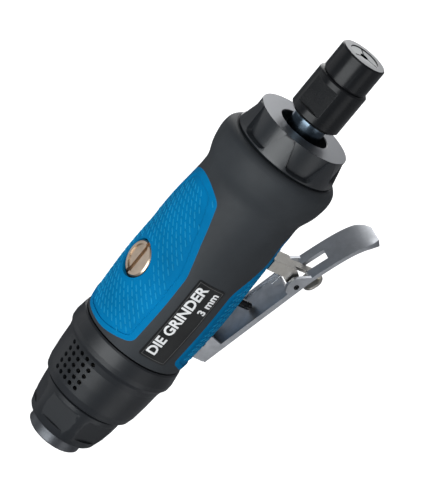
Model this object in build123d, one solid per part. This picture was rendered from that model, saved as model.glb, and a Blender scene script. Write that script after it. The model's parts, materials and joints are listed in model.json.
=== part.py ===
from build123d import *
import os
from math import atan2, cos, degrees, radians, sqrt

os.makedirs("parts", exist_ok=True)

# Straight air die grinder, in millimetres. The tool axis is X: the air inlet's face is at x = 0
# and the collet's face at the far end. The throttle lever is on the -Z side, and the valve's
# slotted plug is opposite it, on the +Z side. Angles about the axis are measured from +Z, towards -Y.

# ---- clearances
RUN = 0.06            # radial clearance of shafts, pins and rings that turn
SLIDE = 0.05          # radial clearance of what slides
GAP = 0.3             # space between pieces that must never touch
EPS = 0.02            # space between fixed pieces that are assembled by hand

# ---- stations along the axis
BOSS_END = 5.0        # inlet boss to collar
COLLAR_END = 19.6     # collar to thrust washer
SLEEVE_START = 20.5
SLEEVE_END = 46.4
HOUSING_START = 47.0  # seam between sleeve and handle
VALVE_X = 73.5        # axis of the throttle valve
MOTOR_START = 81.5    # end wall of the motor bore
HOUSING_END = 129.5
CAP_FACE = HOUSING_END + 10.9
NUT_REAR = CAP_FACE + 4.6
NUT_STEP = NUT_REAR + 16.2    # where the nut steps down
NUT_FACE = NUT_STEP + 10.8

# ---- tail
INLET_R = 5.7         # wall of the 1/4 inch pipe thread
INLET_DEPTH = 15.0
RELIEF_W = 1.2        # run-out groove at the thread's inner end
BOSS_R = 10.2
BUSH_R = 8.4          # inlet bushing's shank
BUSH_END = 36.0
AIR_R = 4.2           # air way on the axis
SCREEN_T = 0.8
SCREEN_PITCH = 1.9
CORE_TUBE_R = 10.6    # tail tube that the sleeve turns on
CORE_TUBE_START = SLEEVE_START + 0.1
ORING_WIRE = 0.75
ORING_GROOVE = 1.6    # width of the bushing's and the cap's grooves

# ---- sleeve
SLEEVE_BORE = 15.6
SLEEVE_WALL = 3.0     # end wall that rides on the tail tube
SHOULDER_START = 43.6     # housing shoulder that carries the sleeve's front end
SHOULDER_R = SLEEVE_BORE - SLIDE
SLEEVE_RINGS = ((SLEEVE_START + 1.6, CORE_TUBE_R), (SHOULDER_START + 1.6, SHOULDER_R))
VENT_ROWS = 5
VENT_PITCH = 2.75
VENT_R = 0.82
VENT_X = 31.0
VENT_ANGLE = 21.5
VENT_SURFACE_R = 18.7     # sleeve's outer radius at the holes
SLEEVE_PROFILE = [(SLEEVE_START, 16.9), (SLEEVE_START + 0.4, 17.3), (23.5, 17.95), (29, 18.55), (35.5, 19.0),
                  (37.8, 19.5), (39.4, 20.4), (41.2, 20.5), (SLEEVE_END - 0.5, 19.8), (SLEEVE_END, 19.3)]

# ---- handle
GRIP_R = 20.85        # handle at the valve
CORE_R = GRIP_R - 3.85    # metal housing under the rubber
MOTOR_R = CORE_R - 2.0    # bore for the motor
CAP_R = GRIP_R - 3.45     # front cap at its face
CAP_BAND_R = CAP_R + 1.5  # band round the cap's foot
GRIP_PROFILE = [(HOUSING_START, GRIP_R - 1.55), (51, GRIP_R - 0.95), (58, GRIP_R - 0.45), (70, GRIP_R),
                (84, GRIP_R - 0.35), (98, GRIP_R - 0.85), (HOUSING_END - 19.5, GRIP_R - 1.75),
                (HOUSING_END - 16, GRIP_R - 1.55), (HOUSING_END - 11.5, GRIP_R + 0.05),
                (HOUSING_END - 8, GRIP_R + 0.85)]
GRIP_FRONT = [(HOUSING_END - 5, GRIP_R + 1.15), (HOUSING_END - 2.5, GRIP_R + 0.9),
              (HOUSING_END - 0.7, GRIP_R - 0.15), (HOUSING_END, GRIP_R - 1.45)]
CLEAR_R = GRIP_R + 9      # beyond the handle, for cutters
PAD_T = 1.8           # thickness of the coloured rubber pads
PAD_SINK = 0.45       # textured field below the pads' smooth rim
RIM_W = 1.7           # width of the smooth rim
PLATE_ANGLE = 80.0    # nameplate's centre, on the flank
PLATE_X = (50.5, 84.5)
PLATE_W = 10.6
PLATE_RISE = 0.2
PLATE_T = 0.5

# ---- spindle and collet
SHAFT_R = 6.3         # visible spindle
FRONT_JOURNAL_R = SHAFT_R - 1.3
REAR_JOURNAL_R = 3.0
THREAD_R = SHAFT_R + 0.6
THREAD_START = NUT_REAR + 2.5
THREAD_END = NUT_FACE - 8.5
CONE_DEEP = THREAD_END - 9.5  # inner end of the spindle's cone
CONE_R = (THREAD_R - 2.6, THREAD_R - 1.0)
COLLET_BORE = 1.5     # takes a 3 mm shank
COLLET_SLITS = 3
SLIT_W = 0.5
COLLET_HEAD_R = THREAD_R - 0.6
COLLET_NOSE_R = THREAD_R - 1.7
NUT_R = THREAD_R + 2.4
NUT_NOSE_R = NUT_R - 0.9
CAP_BORE = SHAFT_R + 2.9
NUT_FLAT_ANGLE = 28.0

# ---- motor stack, rear to front
REAR_PLATE_T = 8.0
FRONT_PLATE_T = 8.2
SPIGOT_L = 6.7        # cap's spigot that holds the stack
SPIGOT_START = HOUSING_END - SPIGOT_L
REAR_PLATE_X = MOTOR_START + 0.5
CYLINDER_X = REAR_PLATE_X + REAR_PLATE_T
FRONT_PLATE_X = SPIGOT_START - 0.6 - FRONT_PLATE_T
CYLINDER_L = FRONT_PLATE_X - CYLINDER_X
ROTOR_L = CYLINDER_L - 0.4
ROTOR_X = CYLINDER_X + 0.2
CYLINDER_BORE = MOTOR_R - 3.2
ECCENTRIC = 1.2       # offset of the cylinder's bore from the axis
ROTOR_R = CYLINDER_BORE - 1.4
REAR_BEARING = (REAR_JOURNAL_R + 5.5, 6.0)      # outer radius, width
FRONT_BEARING = (FRONT_JOURNAL_R + 6.0, 6.0)
FRONT_BEARING_X = FRONT_PLATE_X + FRONT_PLATE_T - FRONT_BEARING[1]
VANES = 4
VANE_T = 1.5
VANE_BOTTOM = FRONT_JOURNAL_R + 1.1
DOWEL_R = 1.0
DOWEL_Z = -(MOTOR_R - 1.8)

# ---- six-fold features
FLATS = 6
FLAT_ANGLE = 40.0     # one wrench flat of the collar
RIBS = 6
RIB_ANGLE = 46.0      # one rib of the front cap

# ---- throttle valve, along Z at VALVE_X
SEAT_Z = -1.5         # top of the seat
SEAT_T = 2.5
PLUG_R = 6.5
PLUG_TOP = GRIP_R - 1.15
PLUG_INNER_Z = 12.8
CHAMBER_R = PLUG_R - 1.0
BALL_R = CHAMBER_R - 1.9
SEAT_HOLE = BALL_R / 1.5
BALL_Z = SEAT_Z + sqrt(BALL_R ** 2 - SEAT_HOLE ** 2) + SLIDE
STEM_R = 1.5
STEM_TOP = BALL_Z - BALL_R - 0.02
STEM_BUSH_R = CHAMBER_R - 1.1
STEM_BUSH_END = -(GRIP_R - 1.65)
OUTLET_Z = -8.0       # bottom of the chamber under the seat
SPRING_R = SEAT_HOLE
SPRING_WIRE = 0.35
SPRING_TURNS = 5

# ---- throttle lever, given in the plane (x, h), where h is the distance from the axis towards the lever
HINGE = (56.5, GRIP_R - 0.55)
LEVER_W = 12.4
SHEET = 1.5
EAR_T = 1.25
BOSS_W = LEVER_W - 2 * EAR_T - 0.7    # housing lug between the lever's ears
LEVER_PIN_R = 1.25
LEVER_START = (HINGE[0] - 6.2, HINGE[1] + 6.2)
LEVER_BEND = (HINGE[0] + 36, HINGE[1] + 19)
LEVER_CURL = [(HINGE[0] + 43.5, HINGE[1] + 21.9), (HINGE[0] + 50.5, HINGE[1] + 25.1),
              (HINGE[0] + 56.1, HINGE[1] + 28.7)]
LEVER_TIP = (HINGE[0] + 59.7, HINGE[1] + 33.2)
LEVER_SLOPE = degrees(atan2(LEVER_BEND[1] - LEVER_START[1], LEVER_BEND[0] - LEVER_START[0]))
LATCH_PIVOT = (HINGE[0] + 33.5, HINGE[1] + 15.9)
LATCH_PIN_R = 1.0
LATCH_W = LEVER_W - 2 * EAR_T - 1.5
LATCH_SHEET = 1.0
LEG_BOTTOM = HINGE[1] + 2.7           # latch's foot, over the handle
LEG_FRONT = LATCH_PIVOT[0] + 5
LEG_BACK = LATCH_PIVOT[0] + 0.7
WINDOW_X = (LATCH_PIVOT[0] - 3.6, LATCH_PIVOT[0] + 4.6)
SLOT_X_END = LATCH_PIVOT[0] + 13
SLOT_W = 4.4


def turned(outline):
    """Solid of revolution about the tool axis, from (x, radius) points."""
    return revolve(make_face(Polyline(*[(x, 0, r) for x, r in outline], close=True)), Axis.X, 360)


def ring(x0, x1, r_in, r_out):
    """Plain ring or, with r_in = 0, a plain disc about the tool axis."""
    return turned([(x0, r_in), (x1, r_in), (x1, r_out), (x0, r_out)])


def rod(start, end, radius):
    """Cylinder between two points."""
    line = Vector(*end) - Vector(*start)
    return Solid.make_cylinder(radius, line.length, Plane(origin=start, z_dir=line.normalized()))


def block(low, high):
    """Box between two corners."""
    size = [b - a for a, b in zip(low, high)]
    middle = [(a + b) / 2 for a, b in zip(low, high)]
    return Pos(*middle) * Box(*size)


def around(shape, angle):
    """The shape turned about the tool axis, from +Z towards -Y."""
    return Rot(angle, 0, 0) * shape


def along_y(outline, width):
    """Plate with its outline in the X-Z plane, centred on Y."""
    face = make_face(Polyline(*[(x, 0, z) for x, z in outline], close=True))
    return extrude(face, width / 2, dir=(0, 1, 0), both=True)


def lever_side(points):
    """Points (x, h) of the lever's plane as (x, z)."""
    return [(x, -h) for x, h in points]


def torus(x, ring_r, wire_r):
    """O-ring about the tool axis."""
    return Pos(x, 0, 0) * Rot(0, 90, 0) * Torus(ring_r, wire_r)


def save(name, shape):
    """Write one named piece."""
    shape.label = name
    export_step(shape, f"parts/{name}.step")


# ================= tail: inlet, collar and exhaust =================

BUSH_GROOVE_X = CORE_TUBE_START + 4


def inlet_bushing():
    """Steel bushing: pipe-threaded inlet, boss and the shank that screws into the housing."""
    body = turned([(0, INLET_R), (0, BOSS_R - 0.5), (0.5, BOSS_R), (BOSS_END, BOSS_R), (BOSS_END, BUSH_R),
                   (BUSH_END, BUSH_R), (BUSH_END, AIR_R), (INLET_DEPTH + SCREEN_T, AIR_R),
                   (INLET_DEPTH + SCREEN_T, INLET_R)])
    body -= ring(INLET_DEPTH - RELIEF_W, INLET_DEPTH, 0, INLET_R + 0.4)
    return body - ring(BUSH_GROOVE_X, BUSH_GROOVE_X + ORING_GROOVE, BUSH_R - 0.7, BUSH_R + 1)


def inlet_o_ring():
    return ring(BUSH_GROOVE_X + 0.1, BUSH_GROOVE_X + ORING_GROOVE - 0.1, BUSH_R - 0.7, BUSH_R - EPS)


def inlet_screen():
    """Wire screen in the inlet, a disc with a field of holes."""
    disc = ring(INLET_DEPTH, INLET_DEPTH + SCREEN_T, 0, INLET_R - EPS)
    places = [((i + (j % 2) / 2) * SCREEN_PITCH, j * SCREEN_PITCH * 0.866) for i in range(-3, 4) for j in range(-3, 4)]
    for y, z in places:
        if y * y + z * z < (INLET_R - 1.4) ** 2:
            disc -= rod((INLET_DEPTH - 1, y, z), (INLET_DEPTH + SCREEN_T + 1, y, z), 0.55)
    return disc


def inlet_collar():
    """Tapered collar round the bushing, with six slanted wrench flats."""
    body = turned([(BOSS_END, BUSH_R + EPS), (BOSS_END, 12.7), (BOSS_END + 0.6, 13.2), (10, 14.5), (14, 15.15),
                   (COLLAR_END - 0.4, 15.6), (COLLAR_END, 15.2), (COLLAR_END, BUSH_R + EPS)])
    flat = along_y([(8.4, 13.2), (17.3, 14.45), (17.3, 22), (8.4, 22)], 24)
    for i in range(FLATS):
        body -= around(flat, FLAT_ANGLE + i * 360 / FLATS)
    return body


def thrust_washer():
    return ring(COLLAR_END + 0.05, SLEEVE_START - 0.05, BUSH_R + 0.1, 14.2)


def exhaust_sleeve():
    """Turning sleeve that throws the exhaust air to one side, through a square grid of holes."""
    bore = CORE_TUBE_R + SLIDE
    wall_end = SLEEVE_START + SLEEVE_WALL
    body = turned([(SLEEVE_START, bore), *SLEEVE_PROFILE, (SLEEVE_END, SLEEVE_BORE), (wall_end, SLEEVE_BORE),
                   (wall_end, bore)])
    step = degrees(VENT_PITCH / VENT_SURFACE_R)
    middle = (VENT_ROWS - 1) / 2
    for i in range(VENT_ROWS):
        x = VENT_X + (i - middle) * VENT_PITCH
        for j in range(VENT_ROWS):
            body -= around(rod((x, 0, SLEEVE_BORE - 1), (x, 0, 22), VENT_R), VENT_ANGLE + (j - middle) * step)
    return body


def sleeve_o_ring(x, seat_r):
    return torus(x, seat_r - ORING_WIRE, ORING_WIRE)


def muffler_felt():
    return ring(SLEEVE_START + 6, SHOULDER_START - 1, CORE_TUBE_R + EPS, SLEEVE_BORE - 1.6)


# ================= housing =================

def grip_body(offset=0.0):
    """The handle's outer form, solid to the axis, grown by an offset."""
    swell = [(x, 0, r + offset) for x, r in GRIP_PROFILE + GRIP_FRONT[:2]]
    shoulder = [(x, 0, r + offset) for x, r in GRIP_FRONT[1:]]
    top = Spline(*swell) + Spline(*shoulder)
    ends = Polyline((HOUSING_END, 0, GRIP_FRONT[-1][1] + offset), (HOUSING_END, 0, 0), (HOUSING_START, 0, 0),
                    (HOUSING_START, 0, GRIP_PROFILE[0][1] + offset))
    return revolve(make_face(top + ends), Axis.X, 360)


def ear_pockets():
    """Room in the rubber for the lever's ears."""
    low, high = BOSS_W / 2 - 0.1, LEVER_W / 2 + 0.7
    pocket = block((HINGE[0] - 7.2, low, -CLEAR_R), (HINGE[0] + 6.2, high, -HINGE[1] + 4.2))
    return pocket + mirror(pocket, Plane.XZ)


def hinge_lug():
    """Lug on the housing that carries the lever's pin."""
    x, h = HINGE
    root = CORE_R - 3
    outline = lever_side([(x - 5.5, root), (x - 5.5, h + 0.3), (x - 2.6, h + 2.7), (x + 2.6, h + 2.7),
                          (x + 4.5, h + 0.3), (x + 4.5, root)])
    return along_y(outline, BOSS_W - 0.02)


def lever_pin_hole(radius):
    return rod((HINGE[0], -12, -HINGE[1]), (HINGE[0], 12, -HINGE[1]), radius)


def valve_column(low, high, radius):
    """Cylinder on the valve's axis."""
    return rod((VALVE_X, 0, low), (VALVE_X, 0, high), radius)


AIR_END = VALVE_X - 11.5
CROSS_Z, CROSS_R = 2.4, 2.9       # cross passage from the air way to the valve
FEED_Z, FEED_R = -6.0, 1.9        # passage from the valve to the motor
EXHAUST_Y, EXHAUST_R = 12.0, 1.6  # passages from the motor back to the sleeve


def motor_housing():
    """Metal housing: tail tube, sleeve shoulder, valve block with its cross bore, and the motor bore."""
    body = turned([(CORE_TUBE_START, 0), (CORE_TUBE_START, CORE_TUBE_R), (SHOULDER_START, CORE_TUBE_R),
                   (SHOULDER_START, SHOULDER_R), (HOUSING_START, SHOULDER_R), (HOUSING_START, CORE_R),
                   (HOUSING_END - 0.2, CORE_R), (HOUSING_END - 0.2, 0)])
    body += hinge_lug()
    body -= ring(CORE_TUBE_START - 1, BUSH_END, 0, BUSH_R)
    body -= ring(BUSH_END - 1, AIR_END, 0, AIR_R)
    body -= rod((AIR_END - 2, 0, CROSS_Z), (VALVE_X, 0, CROSS_Z), CROSS_R)
    body -= ring(MOTOR_START, HOUSING_END, 0, MOTOR_R)
    for x, seat_r in SLEEVE_RINGS:
        body -= torus(x, seat_r - ORING_WIRE, ORING_WIRE)
        body -= ring(x - ORING_WIRE, x + ORING_WIRE, seat_r - ORING_WIRE, seat_r + 1)
    body -= valve_column(PLUG_INNER_Z, CLEAR_R, PLUG_R)
    body -= valve_column(SEAT_Z - SEAT_T, PLUG_INNER_Z + 1, CHAMBER_R)
    body -= valve_column(OUTLET_Z, SEAT_Z - SEAT_T + 0.1, CHAMBER_R - 0.8)
    body -= valve_column(-CLEAR_R, OUTLET_Z + 1, STEM_BUSH_R)
    body -= rod((VALVE_X, 0, FEED_Z), (MOTOR_START + 1, 0, FEED_Z), FEED_R)
    for y in (-EXHAUST_Y, EXHAUST_Y):
        body -= rod((SHOULDER_START - 1, y, 3), (MOTOR_START + 1, y, 3), EXHAUST_R)
    return body - lever_pin_hole(LEVER_PIN_R + EPS)


def plug_side_outline(inset=0.0):
    """Outline of the plug-side pad, seen from the side."""
    points = [(48.2, CLEAR_R), (48.2, 18.6), (52.2, 11.8), (82, 11.8), (94, 14.2), (107.5, 16.2), (111.8, 20),
              (111.8, CLEAR_R)]
    return pad_prism(points, [0, 2, 3.5, 14, 30, 4, 3, 0], inset)


def lever_side_outline(inset=0.0):
    """Outline of the lever-side pad, seen from the side."""
    points = [(49, CLEAR_R), (49, 12), (52.5, 5), (84.5, 5), (98, 10.8), (107.5, 11.2), (111.8, 16), (111.8, CLEAR_R)]
    return pad_prism(lever_side(points), [0, 5, 3, 12, 14, 5, 5, 0], inset)


def pad_prism(points, radii, inset):
    """Prism along Y from an outline with rounded corners, shrunk by an inset."""
    wire = FilletPolyline(*[(x, 0, z) for x, z in points], radius=radii, close=True)
    face = make_face(wire)
    if inset:
        face = offset(face, -inset)
    return extrude(face, 30, dir=(0, 1, 0), both=True)


def pad(outline, grip, floor, field):
    """Rubber pad let into the grip: a smooth rim round a slightly sunk field."""
    shell = (grip - floor) & outline()
    return shell - ((grip - field) & outline(RIM_W))


def nameplate_box():
    """Block through the handle's surface, with the nameplate's outline."""
    length = PLATE_X[1] - PLATE_X[0]
    plate = Pos((PLATE_X[0] + PLATE_X[1]) / 2, 0, GRIP_R) * Box(length, PLATE_W, GRIP_R)
    plate = fillet(plate.edges().filter_by(Axis.Z), 0.8)
    return around(plate, PLATE_ANGLE)


def valve_plug_hole():
    """Hole in the rubber round the valve's plug."""
    return valve_column(PLUG_INNER_Z - 2, CLEAR_R, PLUG_R + 0.5)


# ================= front =================

CAP_SEAT_X = CAP_FACE - 6.4       # bottom of the cap's spindle bore
POCKET_FOOT = HOUSING_END + 2.9   # rear end of the pockets between the ribs
POCKET_R = CAP_R - 0.35           # bottom of those pockets


def rib_pocket():
    """Cutter between two ribs: wide at the face and narrow at the foot, with slanted sides."""
    head = CAP_FACE + 1.2
    outline = FilletPolyline((POCKET_FOOT, -3.9, 0), (head, -6.9, 0), (head, 6.9, 0), (POCKET_FOOT, 3.9, 0),
                             radius=[0.6, 0.1, 0.1, 0.6], close=True)
    cutter = extrude(Pos(0, 0, POCKET_R - 2.5) * make_face(outline), 7, taper=-20)
    return cutter - ring(POCKET_FOOT - 9, head + 9, 0, POCKET_R)


def front_cap():
    """Screwed cap with six tapering ribs, and a spigot that holds the motor stack."""
    body = turned([(SPIGOT_START, CAP_BORE + 2.4), (SPIGOT_START, MOTOR_R - EPS), (HOUSING_END + 0.1, MOTOR_R - EPS),
                   (HOUSING_END + 0.1, CAP_BAND_R - 0.6), (HOUSING_END + 0.9, CAP_BAND_R),
                   (HOUSING_END + 2.1, CAP_BAND_R), (CAP_FACE - 0.5, CAP_R), (CAP_FACE, CAP_R - 0.4),
                   (CAP_FACE, CAP_BORE + 0.3), (CAP_FACE - 0.3, CAP_BORE), (CAP_SEAT_X, CAP_BORE),
                   (CAP_SEAT_X, CAP_BORE + 2.4)])
    for i in range(RIBS):
        body -= around(rib_pocket(), RIB_ANGLE + (i + 0.5) * 360 / RIBS)
    groove = SPIGOT_START + 1.9
    return body - ring(groove, groove + ORING_GROOVE, MOTOR_R - 0.9, MOTOR_R + 1)


def cap_o_ring():
    return ring(SPIGOT_START + 2, SPIGOT_START + 1.8 + ORING_GROOVE, MOTOR_R - 0.9, MOTOR_R - EPS)


def dust_washer():
    """Felt washer in the cap, just clear of the spindle."""
    return ring(CAP_SEAT_X + 0.6, CAP_SEAT_X + 2.2, SHAFT_R + GAP, CAP_BORE - EPS)


# ================= motor =================

def dowel_hole():
    return rod((REAR_PLATE_X + 3, 0, DOWEL_Z), (FRONT_PLATE_X + 5, 0, DOWEL_Z), DOWEL_R)


def rear_plate():
    """End plate with the rear bearing's pocket and two inlet ports."""
    outer, width = REAR_BEARING
    plate = ring(REAR_PLATE_X, CYLINDER_X, REAR_JOURNAL_R + GAP, MOTOR_R - EPS)
    plate -= ring(REAR_PLATE_X - 1, REAR_PLATE_X + width, 0, outer)
    for y in (-5.5, 5.5):
        plate -= rod((REAR_PLATE_X - 1, y, -9.2), (CYLINDER_X + 1, y, -9.2), 1.4)
    return plate - dowel_hole()


def front_plate():
    """End plate with the front bearing's pocket."""
    plate = ring(FRONT_PLATE_X, FRONT_PLATE_X + FRONT_PLATE_T, FRONT_JOURNAL_R + GAP, MOTOR_R - EPS)
    plate -= ring(FRONT_BEARING_X, FRONT_PLATE_X + FRONT_PLATE_T + 1, 0, FRONT_BEARING[0])
    return plate - dowel_hole()


def motor_cylinder():
    """Cylinder with an eccentric bore and a row of exhaust ports on each side."""
    body = ring(CYLINDER_X, FRONT_PLATE_X, 0, MOTOR_R - EPS)
    body -= rod((CYLINDER_X - 1, 0, ECCENTRIC), (FRONT_PLATE_X + 1, 0, ECCENTRIC), CYLINDER_BORE)
    for side in (-1, 1):
        for i in range(5):
            x = CYLINDER_X + (i + 1) * CYLINDER_L / 6
            body -= rod((x, side * 8, 3), (x, side * (MOTOR_R + 1), 3), 1.1)
    return body - dowel_hole()


def motor_dowel():
    return rod((REAR_PLATE_X + 3.1, 0, DOWEL_Z), (FRONT_PLATE_X + 4.9, 0, DOWEL_Z), DOWEL_R - EPS)


def vane_slot(thickness, bottom, top):
    return block((ROTOR_X - 1, -thickness / 2, bottom), (ROTOR_X + ROTOR_L + 1, thickness / 2, top))


def rotor():
    """Rotor pressed on the spindle, slotted for the vanes."""
    body = ring(ROTOR_X, ROTOR_X + ROTOR_L, FRONT_JOURNAL_R - 0.4, ROTOR_R)
    for i in range(VANES):
        body -= around(vane_slot(VANE_T + 0.1, VANE_BOTTOM - 0.1, ROTOR_R + 1), 45 + i * 360 / VANES)
    return body


def vane(i):
    blade = block((ROTOR_X + 0.05, -VANE_T / 2, VANE_BOTTOM), (ROTOR_X + ROTOR_L - 0.05, VANE_T / 2, ROTOR_R - 0.05))
    return around(blade, 45 + i * 360 / VANES)


def spindle():
    """Motor shaft and collet holder in one."""
    a, b = REAR_PLATE_X + 0.2, FRONT_PLATE_X - 0.1
    return turned([(a, 0), (a, REAR_JOURNAL_R - 0.3), (a + 0.3, REAR_JOURNAL_R), (ROTOR_X - 0.05, REAR_JOURNAL_R),
                   (ROTOR_X - 0.05, FRONT_JOURNAL_R - 0.4), (b, FRONT_JOURNAL_R - 0.4), (b, FRONT_JOURNAL_R),
                   (SPIGOT_START, FRONT_JOURNAL_R), (SPIGOT_START, SHAFT_R), (THREAD_START - 0.6, SHAFT_R),
                   (THREAD_START, THREAD_R), (THREAD_END, THREAD_R), (THREAD_END, CONE_R[1]),
                   (CONE_DEEP, CONE_R[0]), (CONE_DEEP - 2, COLLET_BORE + 0.2), (CONE_DEEP - 14, COLLET_BORE + 0.2),
                   (CONE_DEEP - 15.5, 0)])


def collet():
    """Slit collet with a front and a rear cone."""
    body = turned([(CONE_DEEP + 0.2, COLLET_BORE), (CONE_DEEP + 0.2, CONE_R[0] - 0.05), (THREAD_END, CONE_R[1] - 0.06),
                   (THREAD_END + 1, COLLET_HEAD_R), (THREAD_END + 3.2, COLLET_HEAD_R),
                   (NUT_FACE - 0.8, COLLET_NOSE_R), (NUT_FACE - 0.3, COLLET_NOSE_R),
                   (NUT_FACE - 0.3, COLLET_BORE)])
    slit = block((CONE_DEEP + 5, -SLIT_W / 2, COLLET_BORE - 0.5), (NUT_FACE + 1, SLIT_W / 2, 9))
    for i in range(COLLET_SLITS):
        body -= around(slit, 15 + i * 360 / COLLET_SLITS)
    return body


def collet_nut():
    """Stepped collet nut with two wrench flats on its larger end."""
    thread, head, nose = THREAD_R + RUN, COLLET_HEAD_R + RUN, COLLET_NOSE_R + RUN
    inner = [(NUT_REAR + 0.2, thread), (THREAD_END + 0.6, thread), (THREAD_END + 3.3, head),
             (NUT_FACE - 0.8, nose), (NUT_FACE - 0.2, nose), (NUT_FACE, COLLET_NOSE_R + 0.3)]
    outer = [(NUT_FACE, NUT_NOSE_R - 0.5), (NUT_FACE - 0.5, NUT_NOSE_R), (NUT_STEP + 0.9, NUT_NOSE_R),
             (NUT_STEP + 0.9, NUT_NOSE_R - 0.35), (NUT_STEP + 0.3, NUT_NOSE_R - 0.35), (NUT_STEP, NUT_R - 0.4),
             (NUT_STEP - 0.4, NUT_R), (NUT_REAR + 1, NUT_R), (NUT_REAR, NUT_R - 1), (NUT_REAR, thread)]
    body = turned(inner + outer)
    for side in (-1, 1):
        low, high = sorted((side * (NUT_R - 1.3), side * (NUT_R + 3)))
        body -= around(block((NUT_REAR + 3.5, -12, low), (NUT_STEP - 2.2, 12, high)), NUT_FLAT_ANGLE)
    return body


# ================= ball bearings =================

CAGE_RIM = 0.6        # cage left beside each ball


def bearing_pitch(inner, outer):
    return (inner + outer) / 2


def ball_radius(inner, outer):
    return (outer - inner) * 0.27


def bearing_ring(x, width, r_in, r_out, inner, outer):
    """One race, with a groove for the balls."""
    groove = torus(x + width / 2, bearing_pitch(inner, outer), ball_radius(inner, outer) + RUN)
    return ring(x, x + width, r_in, r_out) - groove


def ball_places(x, width, inner, outer, count):
    centre = Pos(x + width / 2, 0, bearing_pitch(inner, outer))
    return [Rot(i * 360 / count, 0, 0) * centre for i in range(count)]


def bearing(name, x, size, inner, count):
    """Outer race, inner race, balls and cage of one bearing."""
    outer, width = size
    wall = (outer - inner) * 0.26
    pitch, ball = bearing_pitch(inner, outer), ball_radius(inner, outer)
    save(f"{name}_outer_race", bearing_ring(x, width, outer - wall, outer, inner, outer))
    save(f"{name}_inner_race", bearing_ring(x, width, inner, inner + wall, inner, outer))
    places = ball_places(x, width, inner, outer, count)
    save(f"{name}_balls", Compound(children=[place * Sphere(ball) for place in places]))
    half = ball + CAGE_RIM
    cage = ring(x + width / 2 - half, x + width / 2 + half, pitch - ball * 0.4, pitch + ball * 0.4)
    for place in places:
        cage -= place * Sphere(ball + RUN)
    save(f"{name}_cage", cage)


# ================= throttle valve =================

def valve_ball():
    return Pos(VALVE_X, 0, BALL_Z) * Sphere(BALL_R)


def valve_seat():
    low = SEAT_Z - SEAT_T
    return valve_column(low, SEAT_Z, CHAMBER_R - EPS) - valve_column(low - 1, SEAT_Z + 1, SEAT_HOLE)


def stem_end_z():
    """Outer end of the stem, just clear of the lever's inner face."""
    return -(web_height(VALVE_X) - SHEET / cos(radians(LEVER_SLOPE))) + GAP


def valve_stem():
    end = stem_end_z()
    stem = valve_column(end + STEM_R, STEM_TOP, STEM_R) + Pos(VALVE_X, 0, end + STEM_R) * Sphere(STEM_R)
    return stem + valve_column(OUTLET_Z - 0.5, OUTLET_Z + 0.5, STEM_R + 0.8)


def stem_bushing():
    body = valve_column(STEM_BUSH_END, OUTLET_Z - 0.6, STEM_BUSH_R - EPS)
    body -= valve_column(STEM_BUSH_END - 1, OUTLET_Z + 1, STEM_R + SLIDE)
    return body - valve_column(STEM_BUSH_END + 2.4, STEM_BUSH_END + 3.9, STEM_R + 1.1)


def stem_o_ring():
    body = valve_column(STEM_BUSH_END + 2.5, STEM_BUSH_END + 3.8, STEM_R + 1.05)
    return body - valve_column(STEM_BUSH_END, STEM_BUSH_END + 6, STEM_R + SLIDE)


def valve_spring():
    """Coil spring between the ball and the plug."""
    low = BALL_Z + sqrt(BALL_R ** 2 - SPRING_R ** 2) + SPRING_WIRE + 0.35
    high = PLUG_INNER_Z - SPRING_WIRE - 0.05
    path = Helix(pitch=(high - low) / SPRING_TURNS, height=high - low, radius=SPRING_R)
    section = Plane(origin=path @ 0, z_dir=path % 0) * Circle(SPRING_WIRE)
    return Pos(VALVE_X, 0, low) * sweep(section, path=path)


def valve_plug():
    """Brass plug with a wide screwdriver slot."""
    body = valve_column(PLUG_INNER_Z + EPS, PLUG_TOP, PLUG_R - EPS)
    body = chamfer(body.edges().group_by(Axis.Z)[-1], 0.5)
    body -= valve_column(PLUG_TOP - 0.45, PLUG_TOP + 1, PLUG_R - 1.5)
    return body - block((VALVE_X - 9, -0.85, PLUG_TOP - 2.2), (VALVE_X + 9, 0.85, PLUG_TOP + 1))


# ================= throttle lever and its latch =================

def web_height(x):
    """Height of the web's outer face over the axis, on its straight stretch."""
    share = (x - LEVER_START[0]) / (LEVER_BEND[0] - LEVER_START[0])
    return LEVER_START[1] + share * (LEVER_BEND[1] - LEVER_START[1])


def lever_sheet():
    """Bent strip of the lever: a straight web, a rise past the latch and a curled tip."""
    start, bend, *curl = [Vector(x, 0, z) for x, z in lever_side([LEVER_START, LEVER_BEND, *LEVER_CURL, LEVER_TIP])]
    straight = Line(start, bend)
    outer = Wire([straight, Spline(bend, *curl, tangents=(straight % 1, Vector(0.45, 0, -0.9)))])
    inner = inner_side(outer)
    ends = [Line(outer @ 0, inner @ 0), Line(outer @ 1, inner @ 1)]
    return extrude(make_face([*outer.edges(), inner, *ends]), LEVER_W / 2, dir=(0, 1, 0), both=True)


def inner_side(outer, steps=24):
    """Curve one sheet thickness inside the strip's outer line."""
    tangents = [(outer @ (i / steps), outer % (i / steps)) for i in range(steps + 1)]
    return Spline(*[point + Vector(-t.Z, 0, t.X) * SHEET for point, t in tangents])


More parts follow.
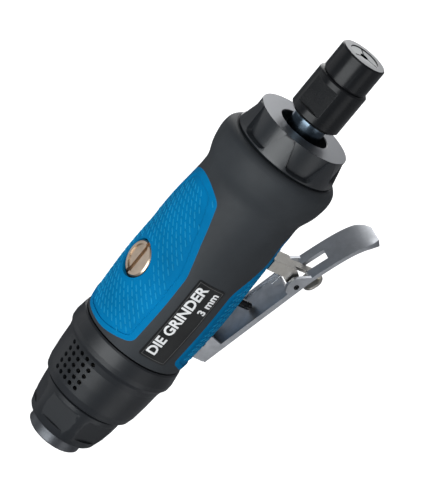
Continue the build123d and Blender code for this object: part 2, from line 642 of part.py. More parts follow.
def lever_side_plates():
    """Hinge ears, edge lips and latch knuckles, one of each on both sides."""
    (x, h), (px, ph), half = HINGE, LATCH_PIVOT, LEVER_W / 2
    ear = lever_side([(x - 6.2, h + 5.2), (x - 5.9, h - 2.1), (x - 3.0, h - 3.7), (x + 3.9, h - 2.7),
                      (x + 4.4, h - 0.8), (x + 2.1, web_height(x + 2.1) - 0.4)])
    knuckle = lever_side([(px - 4.2, web_height(px - 4.2) - 0.5), (px - 3.2, ph - 2.4), (px - 0.8, ph - 3.6),
                          (px + 2.4, ph - 3.0), (px + 4.2, ph - 0.2), (px + 6.0, ph + 3.4), (px + 1.5, ph + 2.4)])
    rear, front = x + 1.5, px - 3
    lip = lever_side([(rear, web_height(rear) - 0.5), (rear + 0.4, web_height(rear) - 2.3),
                      (front, web_height(front) - 2.2), (front, web_height(front) - 0.5)])
    plates = Part()
    for side in (-1, 1):
        plates += Pos(0, side * (half - EAR_T / 2), 0) * (along_y(ear, EAR_T) + along_y(knuckle, EAR_T))
        plates += Pos(0, side * (half - LIP_T / 2), 0) * along_y(lip, LIP_T)
    return plates


LIP_T = 0.9
TIP_CORNER = 4.2      # rounding of the lever's tip


def tip_corner(side):
    """Cutter that rounds one corner of the lever's tip."""
    x, h = LEVER_TIP
    start, centre = x - 2.6, side * (LEVER_W / 2 - TIP_CORNER)
    low, high = sorted((centre, side * (LEVER_W / 2 + 1)))
    top, bottom = -h - 7, -h + 24
    post = rod((start, centre, top), (start, centre, bottom), TIP_CORNER)
    return block((start, low, top), (x + 20, high, bottom)) - post


def throttle_lever():
    """Pressed steel lever: web, hinge ears, knuckles for the latch, and a slotted tip."""
    px, ph = LATCH_PIVOT
    body = lever_sheet() + lever_side_plates()
    inner = LEVER_W / 2 - EAR_T - 0.02
    body -= block((WINDOW_X[0], -inner, -ph - 9), (WINDOW_X[1], inner, -ph + 6))
    body -= block((WINDOW_X[1] - 1, -SLOT_W / 2, -ph - 11), (SLOT_X_END, SLOT_W / 2, -ph))
    for side in (-1, 1):
        body -= tip_corner(side)
    body -= lever_pin_hole(LEVER_PIN_R + RUN)
    return body - rod((px, -12, -ph), (px, 12, -ph), LATCH_PIN_R + EPS)


def roll_pin(place, radius, length):
    """Slotted spring pin across the tool."""
    x, h = place
    pin = rod((x, -length / 2, -h), (x, length / 2, -h), radius)
    pin -= rod((x, -length, -h), (x, length, -h), radius * 0.55)
    return pin - block((x - 0.15, -length, -h - 2 * radius), (x + 0.15, length, -h))


def safety_latch():
    """Folded latch: a channel-shaped leg, pivot cheeks, a neck through the slot and a finger tab."""
    px, ph = LATCH_PIVOT
    cheek = lever_side([(LEG_BACK, LEG_BOTTOM), (LEG_FRONT, LEG_BOTTOM), (LEG_FRONT, ph - 2.9), (px + 2.2, ph + 0.9),
                        (px + 0.6, ph + 1.7), (px - 1.2, ph + 1.5), (px - 1.9, ph), (px - 1.6, ph - 1.6),
                        (LEG_BACK, ph - 6)])
    web = lever_side([(LEG_FRONT - LATCH_SHEET, LEG_BOTTOM), (LEG_FRONT, LEG_BOTTOM), (LEG_FRONT, ph - 2.9),
                      (LEG_FRONT - LATCH_SHEET, ph - 2.3)])
    neck = lever_side([(LEG_FRONT - LATCH_SHEET, ph - 4), (LEG_FRONT, ph - 4), (LEG_FRONT + 0.4, ph + 9.6),
                       (LEG_FRONT - 0.8, ph + 9.2)])
    body = along_y(web, LATCH_W) + along_y(neck, SLOT_W - 2 * GAP)
    for side in (-1, 1):
        body += Pos(0, side * (LATCH_W - LATCH_SHEET) / 2, 0) * along_y(cheek, LATCH_SHEET)
    tab = Pos(px + 1.9, 0, -(ph + 8.4)) * Rot(0, 24, 0) * Box(7.6, 7.4, 1.1)
    tab = fillet(tab.edges().filter_by(lambda e: abs((e % 0.5).Y) < 0.1 and e.length < 1.5), 3.2)
    body += tab
    return body - rod((px, -12, -ph), (px, 12, -ph), LATCH_PIN_R + RUN)


def latch_spring():
    """Torsion spring round the latch's pin, with one leg under the web."""
    px, ph = LATCH_PIVOT
    wire, coil = 0.3, LATCH_PIN_R + 0.55
    path = Helix(pitch=0.75, height=3.75, radius=coil)
    section = Plane(origin=path @ 0, z_dir=path % 0) * Circle(wire)
    coils = Pos(px, 1.9, -ph) * Rot(90, 0, 0) * sweep(section, path=path)
    leg = rod((px, 1.9, -(ph - coil)), (px - 6.2, 1.9, -(ph - coil - 0.9)), wire)
    return coils + leg


# ================= build =================

def build():
    save("inlet_bushing", inlet_bushing())
    save("inlet_o_ring", inlet_o_ring())
    save("inlet_screen", inlet_screen())
    save("inlet_collar", inlet_collar())
    save("thrust_washer", thrust_washer())
    save("exhaust_sleeve", exhaust_sleeve())
    save("sleeve_o_ring_rear", sleeve_o_ring(*SLEEVE_RINGS[0]))
    save("sleeve_o_ring_front", sleeve_o_ring(*SLEEVE_RINGS[1]))
    save("muffler_felt", muffler_felt())
    save("motor_housing", motor_housing())

    grip, floor, field = grip_body(), grip_body(-PAD_T), grip_body(-PAD_SINK)
    lug_hole, ears = hinge_lug(), ear_pockets()
    stem_hole = valve_column(-CLEAR_R, 0, STEM_BUSH_R + 0.4)
    plug_pad = pad(plug_side_outline, grip, floor, field) - valve_plug_hole()
    lever_pad = pad(lever_side_outline, grip, floor, field) - lug_hole - ears - stem_hole
    plate = (grip_body(PLATE_RISE) - grip_body(PLATE_RISE - PLATE_T)) & nameplate_box()
    cover = grip - ring(HOUSING_START - 1, HOUSING_END + 1, 0, CORE_R)
    cover -= (grip - floor) & plug_side_outline()
    cover -= (grip - floor) & lever_side_outline()
    cover -= (grip - grip_body(PLATE_RISE - PLATE_T)) & nameplate_box()
    cover = cover - lug_hole - ears - stem_hole - valve_plug_hole()
    save("grip_cover", cover)
    save("plug_side_pad", plug_pad)
    save("lever_side_pad", lever_pad)
    save("nameplate", plate)

    save("front_cap", front_cap())
    save("cap_o_ring", cap_o_ring())
    save("dust_washer", dust_washer())
    save("rear_plate", rear_plate())
    save("front_plate", front_plate())
    save("motor_cylinder", motor_cylinder())
    save("motor_dowel", motor_dowel())
    save("rotor", rotor())
    for i in range(VANES):
        save(f"vane_{i + 1}", vane(i))
    save("spindle", spindle())
    save("collet", collet())
    save("collet_nut", collet_nut())
    bearing("rear_bearing", REAR_PLATE_X, REAR_BEARING, REAR_JOURNAL_R, 7)
    bearing("front_bearing", FRONT_BEARING_X, FRONT_BEARING, FRONT_JOURNAL_R, 8)

    save("valve_ball", valve_ball())
    save("valve_seat", valve_seat())
    save("valve_stem", valve_stem())
    save("stem_bushing", stem_bushing())
    save("stem_o_ring", stem_o_ring())
    save("valve_spring", valve_spring())
    save("valve_plug", valve_plug())

    save("throttle_lever", throttle_lever())
    save("lever_pin", roll_pin(HINGE, LEVER_PIN_R, LEVER_W + 0.2))
    save("safety_latch", safety_latch())
    save("latch_pin", roll_pin(LATCH_PIVOT, LATCH_PIN_R, LEVER_W + 0.2))
    save("latch_spring", latch_spring())


build()
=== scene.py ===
import json
import math

import bmesh
import bpy
from mathutils import Matrix, Vector
from mathutils.bvhtree import BVHTree


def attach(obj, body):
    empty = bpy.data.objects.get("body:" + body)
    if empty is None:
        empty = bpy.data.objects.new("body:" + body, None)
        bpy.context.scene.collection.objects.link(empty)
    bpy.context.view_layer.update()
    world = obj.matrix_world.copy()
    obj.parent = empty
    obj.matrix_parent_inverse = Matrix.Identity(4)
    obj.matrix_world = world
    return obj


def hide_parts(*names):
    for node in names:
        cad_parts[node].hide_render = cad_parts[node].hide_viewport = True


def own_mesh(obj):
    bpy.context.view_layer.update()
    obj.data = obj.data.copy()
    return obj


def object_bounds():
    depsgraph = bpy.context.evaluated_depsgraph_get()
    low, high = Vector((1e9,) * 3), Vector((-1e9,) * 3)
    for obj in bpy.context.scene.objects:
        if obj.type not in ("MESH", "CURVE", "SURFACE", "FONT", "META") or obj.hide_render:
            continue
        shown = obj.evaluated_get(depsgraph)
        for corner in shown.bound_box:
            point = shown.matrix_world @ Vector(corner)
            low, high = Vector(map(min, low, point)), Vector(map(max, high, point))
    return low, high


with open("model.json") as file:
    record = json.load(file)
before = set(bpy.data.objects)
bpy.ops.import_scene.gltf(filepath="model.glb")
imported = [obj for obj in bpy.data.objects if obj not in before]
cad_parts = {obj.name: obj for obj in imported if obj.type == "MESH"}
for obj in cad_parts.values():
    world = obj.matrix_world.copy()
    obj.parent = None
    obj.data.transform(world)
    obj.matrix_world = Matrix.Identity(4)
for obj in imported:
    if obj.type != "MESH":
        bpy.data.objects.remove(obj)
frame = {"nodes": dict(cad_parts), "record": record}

CAD_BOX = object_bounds()
MM = 0.001
nodes = frame["nodes"]
BODY_OF = {node: body for body, names in frame["record"]["behaviour"]["bodies"].items() for node in names}
scene = bpy.context.scene


# ---------------------------------------------------------------- shader helpers

def wire(tree, output, socket):
    tree.links.new(output, socket)


def group_start(name, inputs, outputs):
    """Empty node group with float or colour sockets: name to default for inputs, names for outputs."""
    group = bpy.data.node_groups.new(name, "ShaderNodeTree")
    for label, default in inputs.items():
        kind = "NodeSocketColor" if isinstance(default, tuple) else "NodeSocketFloat"
        socket = group.interface.new_socket(name=label, in_out="INPUT", socket_type=kind)
        socket.default_value = default
    for label, kind in outputs.items():
        group.interface.new_socket(name=label, in_out="OUTPUT", socket_type=kind)
    return group, group.nodes.new("NodeGroupInput"), group.nodes.new("NodeGroupOutput")


def math_node(tree, kind, a, b=None, clamp=False):
    """Math node; a and b are sockets or numbers."""
    node = tree.nodes.new("ShaderNodeMath")
    node.operation = kind
    node.use_clamp = clamp
    for socket, value in zip(node.inputs, (a, b)):
        if value is None:
            continue
        if isinstance(value, (int, float)):
            socket.default_value = value
        else:
            wire(tree, value, socket)
    return node.outputs[0]


def noise(tree, coordinates, scale, detail=3.0, rough=0.55):
    node = tree.nodes.new("ShaderNodeTexNoise")
    node.inputs["Detail"].default_value = detail
    node.inputs["Roughness"].default_value = rough
    if isinstance(scale, (int, float)):
        node.inputs["Scale"].default_value = scale
    else:
        wire(tree, scale, node.inputs["Scale"])
    wire(tree, coordinates, node.inputs["Vector"])
    return node.outputs["Fac"]


def mix_colour(tree, factor, a, b):
    node = tree.nodes.new("ShaderNodeMix")
    node.data_type = "RGBA"
    wire(tree, factor, node.inputs["Factor"])
    for label, value in (("A", a), ("B", b)):
        socket = next(s for s in node.inputs if s.name == label and s.type == "RGBA")
        if isinstance(value, tuple):
            socket.default_value = value
        else:
            wire(tree, value, socket)
    return next(s for s in node.outputs if s.type == "RGBA")


def span(tree, value, low, high, to_low=0.0, to_high=1.0):
    node = tree.nodes.new("ShaderNodeMapRange")
    wire(tree, value, node.inputs["Value"])
    for label, number in (("From Min", low), ("From Max", high), ("To Min", to_low), ("To Max", to_high)):
        node.inputs[label].default_value = number
    return node.outputs["Result"]


def mix_number(tree, factor, a, b):
    """Blend of two numbers; a and b are sockets or numbers."""
    node = tree.nodes.new("ShaderNodeMix")
    wire(tree, factor, node.inputs["Factor"])
    for socket, value in zip(node.inputs[2:4], (a, b)):
        if isinstance(value, (int, float)):
            socket.default_value = value
        else:
            wire(tree, value, socket)
    return node.outputs["Result"]


def edge_wear_group():
    """Mask of raised edges, broken up by noise, for rubbed corners."""
    group, given, made = group_start(
        "edge_wear", {"Contrast": 6.0, "Breakup": 900.0}, {"Mask": "NodeSocketFloat"})
    geometry = group.nodes.new("ShaderNodeNewGeometry")
    place = group.nodes.new("ShaderNodeTexCoord")
    raised = math_node(group, "SUBTRACT", geometry.outputs["Pointiness"], 0.5)
    patches = noise(group, place.outputs["Object"], given.outputs["Breakup"])
    strong = math_node(group, "MULTIPLY", raised, given.outputs["Contrast"], clamp=True)
    wire(group, math_node(group, "MULTIPLY", strong, patches, clamp=True), made.inputs["Mask"])
    return group


def grain_group():
    """Fine moulded or blasted grain: a height, and a slow mottling for colour and gloss."""
    group, given, made = group_start(
        "surface_grain", {"Fine": 2600.0, "Slow": 60.0},
        {"Height": "NodeSocketFloat", "Mottle": "NodeSocketFloat"})
    place = group.nodes.new("ShaderNodeTexCoord")
    fine = noise(group, place.outputs["Object"], given.outputs["Fine"], 2.0, 0.6)
    slow = noise(group, place.outputs["Object"], given.outputs["Slow"], 4.0, 0.6)
    wire(group, fine, made.inputs["Height"])
    wire(group, slow, made.inputs["Mottle"])
    return group


def lathe_group():
    """Turning marks: thin rings about the tool axis, and a slow mottling."""
    group, given, made = group_start(
        "lathe_marks", {"Rings": 9000.0},
        {"Height": "NodeSocketFloat", "Mottle": "NodeSocketFloat"})
    place = group.nodes.new("ShaderNodeTexCoord")
    stretch = group.nodes.new("ShaderNodeMapping")
    stretch.inputs["Scale"].default_value = (1.0, 0.02, 0.02)
    wire(group, place.outputs["Object"], stretch.inputs["Vector"])
    wire(group, noise(group, stretch.outputs["Vector"], given.outputs["Rings"], 2.0, 0.6), made.inputs["Height"])
    wire(group, noise(group, place.outputs["Object"], 120.0, 3.0, 0.6), made.inputs["Mottle"])
    return group


def end_face_group():
    """Mask of the flat faces across the tool axis."""
    group, _, made = group_start("end_faces", {}, {"Mask": "NodeSocketFloat"})
    place = group.nodes.new("ShaderNodeTexCoord")
    parts = group.nodes.new("ShaderNodeSeparateXYZ")
    wire(group, place.outputs["Normal"], parts.inputs[0])
    steep = math_node(group, "ABSOLUTE", parts.outputs["X"])
    wire(group, span(group, steep, 0.965, 0.985), made.inputs["Mask"])
    return group


END_FACES = end_face_group()
EDGE_WEAR = edge_wear_group()
GRAIN = grain_group()
LATHE = lathe_group()


def use_group(tree, group, **values):
    node = tree.nodes.new("ShaderNodeGroup")
    node.node_tree = group
    for label, value in values.items():
        node.inputs[label].default_value = value
    return node


def finish_material(name, colour, rough, metal=0.0, texture=GRAIN, texture_values=None, bump=0.02,
                    dark=0.8, light=1.15, rough_spread=0.1, wear=None, wear_colour=(0.6, 0.6, 0.62, 1),
                    wear_rough=0.3, coat=0.0, coat_rough=0.2, sheen=0.0, specular=0.5, turned_face_and_highlight=None, turned_face_and_highlight_rough=0.35):
    """Material with mottled colour and gloss, a fine relief, rubbed edges where wear is given, and a lighter metal on
    the end faces where given, partly a turned finish and partly painted highlight.
    """
    material = bpy.data.materials.new(name)
    material.use_nodes = True
    tree = material.node_tree
    shader = tree.nodes["Principled BSDF"]
    fine = use_group(tree, texture, **(texture_values or {}))
    shade = tuple(c * dark for c in colour[:3]) + (1.0,)
    bright = tuple(min(1.0, c * light) for c in colour[:3]) + (1.0,)
    base = mix_colour(tree, span(tree, fine.outputs["Mottle"], 0.3, 0.7), shade, bright)
    gloss = span(tree, fine.outputs["Mottle"], 0.3, 0.7, rough + rough_spread / 2, rough - rough_spread / 2)
    metallic = None
    # end faces across the tool axis get a lighter metal colour: partly a turned finish, partly painted highlight for
    # the light falling on those faces
    if turned_face_and_highlight:
        ends = use_group(tree, END_FACES).outputs["Mask"]
        base = mix_colour(tree, ends, base, turned_face_and_highlight)
        gloss = mix_number(tree, ends, gloss, turned_face_and_highlight_rough)
        metallic = ends
    if wear:
        mask = use_group(tree, EDGE_WEAR, Contrast=wear, Breakup=1400.0).outputs["Mask"]
        base = mix_colour(tree, mask, base, wear_colour)
        gloss = mix_number(tree, mask, gloss, wear_rough)
        metallic = math_node(tree, "MAXIMUM", mask, metallic) if turned_face_and_highlight else mask
    wire(tree, base, shader.inputs["Base Color"])
    wire(tree, gloss, shader.inputs["Roughness"])
    if metallic is not None and metal < 0.5:
        wire(tree, metallic, shader.inputs["Metallic"])
    else:
        shader.inputs["Metallic"].default_value = metal
    relief = tree.nodes.new("ShaderNodeBump")
    relief.inputs["Strength"].default_value = 1.0
    relief.inputs["Distance"].default_value = bump * MM
    wire(tree, fine.outputs["Height"], relief.inputs["Height"])
    wire(tree, relief.outputs["Normal"], shader.inputs["Normal"])
    shader.inputs["Coat Weight"].default_value = coat
    shader.inputs["Coat Roughness"].default_value = coat_rough
    shader.inputs["Sheen Weight"].default_value = sheen
    shader.inputs["Specular IOR Level"].default_value = specular
    return material


# the lighter end-face colours of the steels and the enamel below are partly painted highlight on the faces across the
# tool axis
MATERIALS = {
    "blackened_steel": finish_material("black_oxide_steel", (0.0055, 0.006, 0.007), 0.25, 0.0, LATHE, bump=0.003,
                                       wear=1.0, wear_colour=(0.16, 0.17, 0.18, 1), specular=0.22,
                                       turned_face_and_highlight=(0.33, 0.335, 0.34, 1), turned_face_and_highlight_rough=0.42),
    "bushing_steel": finish_material("bushing_steel", (0.085, 0.09, 0.10), 0.42, 1.0, LATHE, bump=0.005,
                                     wear=1.5, wear_colour=(0.5, 0.51, 0.52, 1)),
    "bright_steel": finish_material("machined_steel", (0.42, 0.43, 0.44), 0.34, 1.0, LATHE, bump=0.004),
    "polished_steel": finish_material("ground_steel", (0.15, 0.20, 0.25), 0.2, 1.0, LATHE, bump=0.001,
                                      rough_spread=0.05, turned_face_and_highlight=(0.42, 0.43, 0.43, 1), turned_face_and_highlight_rough=0.5),
    "lever_steel": finish_material("plated_lever_steel", (0.46, 0.475, 0.50), 0.40, 1.0, GRAIN,
                                   {"Fine": 1500.0, "Slow": 160.0}, bump=0.005, rough_spread=0.16, dark=0.8),
    "latch_steel": finish_material("plated_latch_steel", (0.50, 0.48, 0.44), 0.34, 1.0, GRAIN,
                                   {"Fine": 1500.0, "Slow": 200.0}, bump=0.005, rough_spread=0.16, dark=0.85),
    "anodised_aluminium": finish_material("anodised_aluminium", (0.018, 0.019, 0.021), 0.4, 0.6),
    "cast_aluminium": finish_material("housing_aluminium", (0.45, 0.45, 0.47), 0.42, 1.0),
    "dark_plastic": finish_material("sleeve_composite", (0.011, 0.0125, 0.015), 0.40, 0.0, GRAIN,
                                    {"Fine": 3200.0, "Slow": 70.0}, bump=0.004, wear=0.8, specular=0.4,
                                    wear_colour=(0.05, 0.055, 0.06, 1), wear_rough=0.35),
    "black_enamel": finish_material("cap_enamel", (0.010, 0.012, 0.0145), 0.36, 0.0, GRAIN,
                                    {"Fine": 1800.0, "Slow": 60.0}, bump=0.003, coat=0.2, coat_rough=0.35,
                                    turned_face_and_highlight=(0.24, 0.247, 0.26, 1), turned_face_and_highlight_rough=0.42),
    "black_rubber": finish_material("handle_rubber", (0.0235, 0.027, 0.031), 0.6, 0.0, GRAIN,
                                    {"Fine": 2400.0, "Slow": 40.0}, bump=0.006, specular=0.35),
    "blue_rubber": finish_material("pad_rubber", (0.0, 0.16, 0.37), 0.68, 0.0, GRAIN,
                                   {"Fine": 2400.0, "Slow": 45.0}, bump=0.006, specular=0.04),
    "label_black": finish_material("label_film", (0.007, 0.0075, 0.008), 0.42, 0.0, GRAIN,
                                   {"Fine": 900.0, "Slow": 80.0}, bump=0.001, specular=0.3),
    "brass": finish_material("turned_brass", (0.62, 0.50, 0.39), 0.34, 1.0, LATHE, {"Rings": 5000.0}, bump=0.004),
    "seal_rubber": finish_material("seal_rubber", (0.012, 0.012, 0.012), 0.5),
    "felt": finish_material("pressed_felt", (0.42, 0.39, 0.33), 0.95, 0.0, GRAIN,
                            {"Fine": 1200.0, "Slow": 200.0}, bump=0.05),
    "vane_composite": finish_material("vane_laminate", (0.22, 0.12, 0.06), 0.6),
    "cage_plastic": finish_material("cage_nylon", (0.6, 0.55, 0.42), 0.5),
}
DASH_BLUE = finish_material("raised_dash_rubber", (0.001, 0.23, 0.46), 0.5, 0.0, GRAIN,
                            {"Fine": 2400.0, "Slow": 45.0}, bump=0.004, specular=0.15)
PRINT_GRAIN = {"Fine": 900.0, "Slow": 80.0}
PRINT_WHITE = finish_material("plate_print", (0.75, 0.75, 0.75), 0.4, 0.0, GRAIN, PRINT_GRAIN, bump=0.001)
PRINT_GREY = finish_material("plate_border", (0.06, 0.06, 0.06), 0.4, 0.0, GRAIN, PRINT_GRAIN, bump=0.001)

for entry in frame["record"]["subparts"]:
    piece = nodes[entry["node"]]
    for place in piece.material_slots:
        place.material = MATERIALS[entry["material_slot"]]


# ---------------------------------------------------------------- raised dashes of the rubber pads

DASH_LONG = 2.3 * MM
DASH_WIDE = 0.55 * MM
DASH_TALL = 0.34 * MM
COLUMN_STEP = 1.75 * MM
DASH_STEP = 3.0 * MM
MIDDLE_R = 20.5 * MM


def link(name, mesh, material):
    thing = bpy.data.objects.new(name, mesh)
    scene.collection.objects.link(thing)
    mesh.materials.append(material)
    for face in mesh.polygons:
        face.use_smooth = True
    return thing


def surface_search(*names):
    """BVH trees of CAD nodes, to find their outer surface."""
    trees = []
    for name in names:
        form = bmesh.new()
        form.from_mesh(nodes[name].data)
        trees.append(BVHTree.FromBMesh(form))
        form.free()
    return trees


def outward_hit(tree, x, angle):
    """Outermost point of a surface at a station and an angle about the tool axis, and its normal."""
    outward = Vector((0, -math.sin(angle), math.cos(angle)))
    start = Vector((x, 0, 0)) + outward * 0.05
    place, normal, _, _ = tree.ray_cast(start, -outward, 0.05)
    return outward, place, normal


def dash_blank():
    """One dash: a low bar with rounded ends and top, on the X-Y plane."""
    form = bmesh.new()
    bmesh.ops.create_cube(form, size=1.0)
    bmesh.ops.scale(form, verts=form.verts, vec=(DASH_LONG, DASH_WIDE, DASH_TALL))
    upright = [e for e in form.edges if abs((e.verts[0].co - e.verts[1].co).z) > DASH_TALL / 2]
    bmesh.ops.bevel(form, geom=upright, offset=DASH_WIDE * 0.45, segments=2, profile=0.5, affect="EDGES", material=-1)
    top = [e for e in form.edges if min(v.co.z for v in e.verts) > DASH_TALL * 0.4]
    bmesh.ops.bevel(form, geom=top, offset=DASH_TALL * 0.35, segments=1, profile=0.5, affect="EDGES", material=-1)
    mesh = bpy.data.meshes.new("dash_blank")
    form.to_mesh(mesh)
    form.free()
    return mesh


def raised_dashes(name, pad_name, middle_angle, lean, avoid):
    """Rows of slanted dashes over the sunk field of one pad, clear of its rim."""
    tree, = surface_search(pad_name)
    blank = dash_blank()
    form = bmesh.new()
    slant = Vector((math.cos(lean), math.sin(lean)))
    across = Vector((-slant.y, slant.x))
    reach = 26
    for i in range(-reach, reach + 1):
        for j in range(-reach, reach + 1):
            flat = slant * (j + (i % 2) / 2) * DASH_STEP + across * i * COLUMN_STEP
            x, angle = 0.080 + flat.x, middle_angle + flat.y / MIDDLE_R
            if not on_field(tree, x, angle, slant) or avoid(x, angle):
                continue
            outward, place, normal = outward_hit(tree, x, angle)
            side = Vector((0, -math.cos(angle), -math.sin(angle)))
            along = (Vector((1, 0, 0)) * slant.x + side * slant.y)
            along = (along - outward * along.dot(outward)).normalized()
            turn = Matrix((along, outward.cross(along), outward)).transposed().to_4x4()
            start = len(form.verts)
            form.from_mesh(blank)
            form.verts.ensure_lookup_table()
            fresh = form.verts[start:]
            bmesh.ops.transform(form, matrix=Matrix.Translation(place) @ turn, verts=fresh)
    mesh = bpy.data.meshes.new(name)
    form.to_mesh(mesh)
    form.free()
    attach(link(name, mesh, DASH_BLUE), "housing")


def on_field(tree, x, angle, slant):
    """True where the whole dash stands on the pad's sunk field, away from its rim and openings."""
    def height(along, beside):
        sx = x + (slant.x * along - slant.y * beside) * DASH_LONG
        sa = angle + (slant.y * along + slant.x * beside) * DASH_LONG / MIDDLE_R
        _, place, _ = outward_hit(tree, sx, sa)
        return None if place is None else math.hypot(place.y, place.z)

    middle = height(0, 0)
    if middle is None or middle < 0.0172:
        return False
    for along, beside in ((0.75, 0), (0, 0.45), (0.6, 0.4), (0.6, -0.4)):
        pair = height(along, beside), height(-along, -beside)
        if None in pair or abs(sum(pair) - 2 * middle) > 0.0002:
            return False
    return True


DASH_LEAN = math.radians(47)
PLUG_X = 73.5 * MM
PLUG_CLEAR = 8.8 * MM      # no dash is nearer to the plug's middle
LEVER_ROOT_END = 66.0 * MM
LEVER_ROOT_HALF = 9.0 * MM


def near_plug(x, angle):
    return math.hypot(x - PLUG_X, math.sin(angle) * MIDDLE_R) < PLUG_CLEAR


def near_lever_root(x, angle):
    return x < LEVER_ROOT_END and abs(math.sin(angle)) * MIDDLE_R < LEVER_ROOT_HALF


raised_dashes("plug_pad_dashes", "plug_side_pad", 0.0, -DASH_LEAN, near_plug)
raised_dashes("lever_pad_dashes", "lever_side_pad", math.pi, DASH_LEAN, near_lever_root)


# ---------------------------------------------------------------- nameplate print

PLATE_MIDDLE = math.radians(80)
PLATE_CENTRE_X = 67.5 * MM
PLATE_WRAP_R = 20.4 * MM     # turns a width on the flat sheet into an angle
PRINT_RISE = 0.04 * MM
PRINT_THICKNESS = 0.05 * MM
PRINT_LONGEST_EDGE = 0.8 * MM


def wrap_on_plate(name, form, material):
    """Bend a flat sheet in (x, y) onto the nameplate and give it a little thickness."""
    tree, = surface_search("nameplate")
    for _ in range(6):
        long_edges = [e for e in form.edges if e.calc_length() > PRINT_LONGEST_EDGE]
        if not long_edges:
            break
        bmesh.ops.subdivide_edges(form, edges=long_edges, cuts=1)
        bmesh.ops.triangulate(form, faces=[f for f in form.faces if len(f.verts) > 3])
    for vert in form.verts:
        angle = PLATE_MIDDLE - vert.co.y / PLATE_WRAP_R
        outward, place, _ = outward_hit(tree, vert.co.x, angle)
        vert.co = place + outward * PRINT_RISE
    bmesh.ops.recalc_face_normals(form, faces=form.faces)
    bmesh.ops.solidify(form, geom=form.faces[:], thickness=PRINT_THICKNESS)
    bmesh.ops.recalc_face_normals(form, faces=form.faces)
    mesh = bpy.data.meshes.new(name)
    form.to_mesh(mesh)
    form.free()
    thing = link(name, mesh, material)
    for face in mesh.polygons:
        face.use_smooth = False
    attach(thing, "housing")


def plate_words(name, words, size, x, y, align):
    """Printed words; x and y are where the text starts or ends, along and across the plate."""
    curve = bpy.data.curves.new(name, "FONT")
    curve.body = words
    curve.size = size
    curve.align_x = align
    curve.offset = size * 0.03
    curve.resolution_u = 3
    thing = bpy.data.objects.new(name + "_curve", curve)
    flat = bpy.data.meshes.new_from_object(thing)
    form = bmesh.new()
    form.from_mesh(flat)
    bpy.data.objects.remove(thing)
    bmesh.ops.remove_doubles(form, verts=form.verts, dist=1e-6)
    bmesh.ops.translate(form, verts=form.verts, vec=(x, y, 0))
    wrap_on_plate(name, form, PRINT_WHITE)


def plate_border(length, width, line):
    """Thin printed line just inside the plate's edge."""
    form = bmesh.new()
    bmesh.ops.create_grid(form, x_segments=1, y_segments=1, size=0.5)
    bmesh.ops.scale(form, verts=form.verts, vec=(length, width, 1))
    rim = bmesh.ops.inset_region(form, faces=form.faces[:], thickness=line, use_boundary=True,
                                 use_even_offset=True)
    inner = [f for f in form.faces if f not in rim["faces"]]
    bmesh.ops.delete(form, geom=inner, context="FACES")
    bmesh.ops.translate(form, verts=form.verts, vec=(PLATE_CENTRE_X, 0, 0))
    wrap_on_plate("plate_border_line", form, PRINT_GREY)


plate_words("plate_title", "DIE GRINDER", 5.0 * MM, 52.6 * MM, 0.6 * MM, "LEFT")
plate_words("plate_size", "3 mm", 3.9 * MM, 82.6 * MM, -3.9 * MM, "RIGHT")
plate_border(32.8 * MM, 9.4 * MM, 0.22 * MM)


# ---------------------------------------------------------------- softened edges

def lever_corners(form):
    """Long outer corners of the lever's web, where the sheet is bent round."""
    start, bend = Vector((0.0503, 0, -0.0265)), Vector((0.0925, 0, -0.0393))
    run = (bend - start).normalized()
    found = []
    for edge in form.edges:
        ends = [v.co - start for v in edge.verts]
        off = max((Vector((p.x, 0, p.z)) - run * run.dot(p)).length for p in ends)
        wide = min(abs(p.y) for p in ends)
        if off < 0.00003 and wide > 0.0061 and edge.calc_length() > 0.001:
            found.append(edge)
    return found


def softened(name, width, sharp=28.0):
    """Merged copy of a CAD node with its sharp edges rounded, shown in its place."""
    piece = nodes[name]
    form = bmesh.new()
    form.from_mesh(piece.data)
    bmesh.ops.remove_doubles(form, verts=form.verts, dist=1e-6)
    bmesh.ops.dissolve_limit(form, angle_limit=math.radians(0.4), verts=form.verts, edges=form.edges)
    if name == "throttle_lever":
        bmesh.ops.bevel(form, geom=lever_corners(form), offset=1.3 * MM, offset_type="OFFSET", segments=5,
                        profile=0.5, affect="EDGES", clamp_overlap=True, material=-1)
    edges = [e for e in form.edges if len(e.link_faces) == 2 and e.calc_face_angle(0) > math.radians(sharp)]
    bmesh.ops.bevel(form, geom=edges, offset=width, offset_type="OFFSET", segments=2, profile=0.5, affect="EDGES",
                    clamp_overlap=True, material=-1)
    mesh = bpy.data.meshes.new(name + "_softened")
    form.to_mesh(mesh)
    form.free()
    thing = link(name + "_softened", mesh, piece.material_slots[0].material)
    thing.modifiers.new("even_shading", "WEIGHTED_NORMAL").weight = 90
    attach(thing, BODY_OF[name])
    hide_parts(name)


for name, width in (("collet_nut", 0.22), ("front_cap", 0.25), ("throttle_lever", 0.18), ("safety_latch", 0.15),
                    ("inlet_collar", 0.3)):
    softened(name, width * MM)


def shortening_spring():
    """Copy of the valve's spring, shown on the same body in place of the CAD node."""
    piece = nodes["valve_spring"]
    mesh = piece.data.copy()
    mesh.materials.clear()
    thing = link("valve_coil", mesh, piece.material_slots[0].material)
    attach(thing, BODY_OF["valve_spring"])
    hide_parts("valve_spring")
    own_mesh(thing)


shortening_spring()


# ---------------------------------------------------------------- stage

def aim(thing, target):
    thing.rotation_mode = "QUATERNION"
    thing.rotation_quaternion = (Vector(target) - thing.location).to_track_quat("-Z", "Y")


def softbox(name, place, target, size, power, colour=(1, 1, 1)):
    """Soft rectangular lamp that the camera doesn't see."""
    lamp = bpy.data.lights.new(name, "AREA")
    lamp.shape = "RECTANGLE"
    lamp.size, lamp.size_y = size
    lamp.energy = power
    lamp.color = colour
    thing = bpy.data.objects.new(name, lamp)
    scene.collection.objects.link(thing)
    thing.location = place
    thing.visible_camera = False
    aim(thing, target)


LENS_LENGTH = 211.0
CAMERA_PLACE = Vector((0.4186, -0.7064, 0.5767))


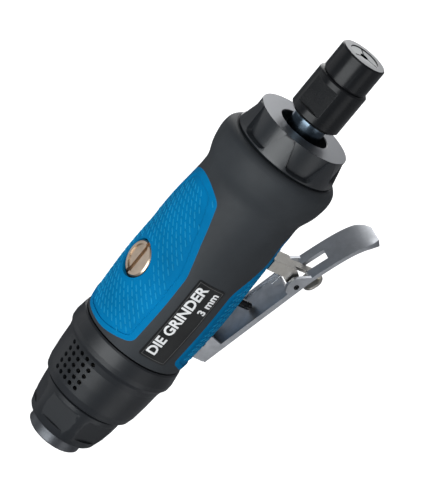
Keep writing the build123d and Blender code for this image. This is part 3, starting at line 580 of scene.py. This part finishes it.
def camera():
    """Long lens, seen from above on the nameplate's side, with the tool running up to the right."""
    lens = bpy.data.cameras.new("camera")
    lens.lens = LENS_LENGTH
    lens.sensor_width = 36.0
    lens.clip_start, lens.clip_end = 0.05, 10.0
    thing = bpy.data.objects.new("camera", lens)
    scene.collection.objects.link(thing)
    right = Vector((0.6002, -0.3205, -0.7327))
    up = Vector((0.7237, 0.6077, 0.3269))
    back = right.cross(up)
    turn = Matrix((right, up, back)).transposed().to_4x4()
    thing.matrix_world = Matrix.Translation(CAMERA_PLACE) @ turn
    scene.camera = thing


def floor():
    """Wide pale floor under the tool; it looks near white, and throws only a little light back."""
    low = CAD_BOX[0].z - 0.25
    form = bmesh.new()
    bmesh.ops.create_grid(form, x_segments=1, y_segments=1, size=4.0)
    bmesh.ops.translate(form, verts=form.verts, vec=(0, 0, low))
    mesh = bpy.data.meshes.new("floor")
    form.to_mesh(mesh)
    form.free()
    thing = bpy.data.objects.new("floor", mesh)
    scene.collection.objects.link(thing)
    material = bpy.data.materials.new("pale_floor")
    material.use_nodes = True
    tree = material.node_tree
    shader = tree.nodes["Principled BSDF"]
    shader.inputs["Roughness"].default_value = 0.9
    shader.inputs["Specular IOR Level"].default_value = 0.0
    seen = tree.nodes.new("ShaderNodeLightPath").outputs["Is Camera Ray"]
    wire(tree, mix_colour(tree, seen, (0.30, 0.30, 0.31, 1), (0.55, 0.55, 0.55, 1)), shader.inputs["Base Color"])
    shader.inputs["Emission Color"].default_value = (1, 1, 1, 1)
    wire(tree, math_node(tree, "MULTIPLY", seen, 0.88), shader.inputs["Emission Strength"])
    mesh.materials.append(material)


def studio():
    world = bpy.data.worlds.new("studio")
    world.use_nodes = True
    tree = world.node_tree
    back = tree.nodes["Background"]
    seen = tree.nodes.new("ShaderNodeLightPath").outputs["Is Camera Ray"]
    wire(tree, mix_colour(tree, seen, (0.20, 0.21, 0.225, 1), (1, 1, 1, 1)), back.inputs["Color"])
    back.inputs["Strength"].default_value = 1.0
    scene.world = world
    middle = (0.09, 0, 0)
    softbox("key_upper_left", (-0.05, -0.5, 0.7), middle, (0.75, 0.75), 8.0, (0.96, 0.99, 1.0))
    softbox("front_strip", (0.75, -0.45, 0.35), middle, (0.4, 0.3), 1.5)
    softbox("back_top", (-0.2, 0.5, 0.5), middle, (0.6, 0.6), 0.55)
    softbox("ear_bounce", (-0.12, -0.38, -0.27), middle, (0.45, 0.45), 0.55)
    softbox("nose_bounce", (0.36, 0.42, -0.27), (0.15, 0, 0), (0.65, 0.65), 3.2)
    scene.view_settings.view_transform = "Standard"


camera()
floor()
studio()
